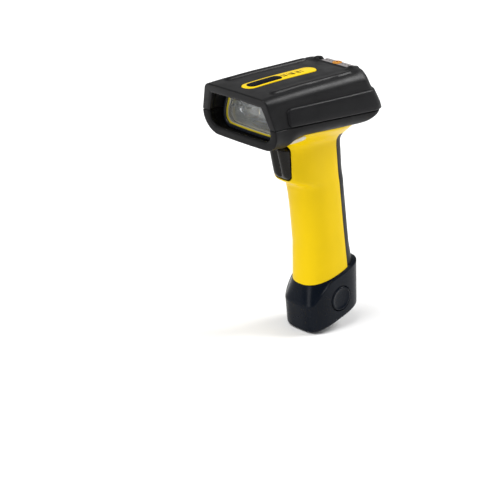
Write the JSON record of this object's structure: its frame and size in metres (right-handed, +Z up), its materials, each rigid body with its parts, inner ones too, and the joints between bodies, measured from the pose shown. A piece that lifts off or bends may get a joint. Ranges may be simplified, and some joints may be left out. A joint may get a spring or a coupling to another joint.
{
  "type": "handheld barcode scanner",
  "caption": "Cordless pistol-grip barcode scanner with a hooded scan head, a trigger, and a battery boot that slides out of the grip between two round side latches.",
  "frame": {"origin": "middle of the bounding box, at the level of its underside, where the toe of the battery boot stands", "axes": "-Y is where the nose points, +X is the scanner's left-hand side seen from behind it, +Z is up along the grip towards the scan head"},
  "size_m": [0.0744, 0.1229, 0.2004],
  "materials": {
    "black_rubber": "soft matte with a fine grain",
    "yellow_plastic": "satin moulded",
    "boot_plastic": "satin moulded with a fine grain",
    "trigger_plastic": "polished",
    "black_plastic": "moulded",
    "label_yellow": "printed film",
    "label_navy": "printed film",
    "label_silver": "metallised film",
    "amber_lens": "clear tinted",
    "window_glass": "polished, coated",
    "mirror_silver": "polished",
    "steel": "drawn",
    "brass": "turned",
    "gold": "gold plated",
    "copper": "enamelled copper wire",
    "board_green": "solder mask",
    "flex_orange": "polyimide film",
    "battery_wrap": "shrink film",
    "seal_rubber": "soft",
    "cast_metal": "cast"
  },
  "bodies": {
    "scanner": {"battery_spring_negative": "gold", "battery_spring_positive": "gold", "beeper": "black_plastic", "coil_core": "steel", "contact_block": "black_plastic", "drive_coil": "copper", "engine_chassis": "cast_metal", "flex_cable": "flex_orange", "handle_back_cover": "black_rubber", "handle_board": "board_green", "handle_housing": "yellow_plastic", "head_screw_1": "steel", "head_screw_2": "steel", "head_screw_3": "steel", "head_screw_4": "steel", "indicator_label": "label_silver", "indicator_led": "amber_lens", "indicator_lens": "amber_lens", "laser_lens": "window_glass", "laser_module": "brass", "lower_housing": "yellow_plastic", "lower_overmold": "black_rubber", "main_board": "board_green", "name_plate": "label_yellow", "name_plate_inlay": "label_navy", "photodiode": "amber_lens", "photodiode_board": "board_green", "processor_chip": "black_plastic", "radio_module": "cast_metal", "rating_label": "label_silver", "scan_window": "window_glass", "side_bumper": "black_rubber", "top_overmold": "black_rubber", "trigger_pin": "steel", "trigger_spring": "steel", "trigger_switch": "black_plastic", "upper_housing": "yellow_plastic", "window_bezel": "black_plastic", "window_frame": "yellow_plastic", "window_gasket": "seal_rubber"},
    "trigger_body": {"trigger": "trigger_plastic"},
    "plunger": {"switch_plunger": "black_plastic"},
    "mirror": {"scan_mirror": "mirror_silver", "mirror_shaft": "steel", "mirror_magnet": "cast_metal"},
    "battery": {"battery_boot": "boot_plastic", "battery_cell": "battery_wrap", "battery_terminal": "steel", "battery_holder": "black_plastic", "boot_seal": "seal_rubber", "latch_block": "black_plastic", "latch_spring_left": "steel", "latch_spring_right": "steel", "charge_contact_1": "gold", "charge_contact_2": "gold", "charge_contact_3": "gold", "charge_contact_4": "gold"},
    "latch_left": {"latch_button_left": "boot_plastic"},
    "latch_right": {"latch_button_right": "boot_plastic"}
  },
  "joints": [
    {"name": "trigger_pull", "type": "hinge", "parent": "scanner", "child": "trigger_body", "pos_m": [0, -0.00543, 0.14412], "axis": [1, 0, 0], "range_deg": [0, 6], "stiffness_Nm_per_rad": 0.3, "springref_deg": -5.73, "deforming": ["trigger_spring"]},
    {"name": "plunger_press", "type": "slide", "parent": "scanner", "child": "plunger", "axis": [0, 1, 0], "range_m": [0, 0.0014]},
    {"name": "mirror_sweep", "type": "hinge", "parent": "scanner", "child": "mirror", "pos_m": [0, -0.01143, 0.17502], "axis": [0, 0, 1], "range_deg": [-10, 10], "stiffness_Nm_per_rad": 0.004},
    {"name": "battery_slide", "type": "slide", "parent": "scanner", "child": "battery", "axis": [0, 0.1961, -0.9806], "range_m": [0, 0.086]},
    {"name": "latch_press_left", "type": "slide", "parent": "battery", "child": "latch_left", "axis": [1, 0, 0], "range_m": [0, 0.002], "stiffness_N_per_m": 1000, "springref_m": -0.001, "deforming": ["latch_spring_left"]},
    {"name": "latch_press_right", "type": "slide", "parent": "battery", "child": "latch_right", "axis": [-1, 0, 0], "range_m": [0, 0.002], "stiffness_N_per_m": 1000, "springref_m": -0.001, "deforming": ["latch_spring_right"]}
  ],
  "couplings": [
    {"joint": "plunger_press", "follows": "trigger_pull", "m_per_rad": 0.012}
  ]
}
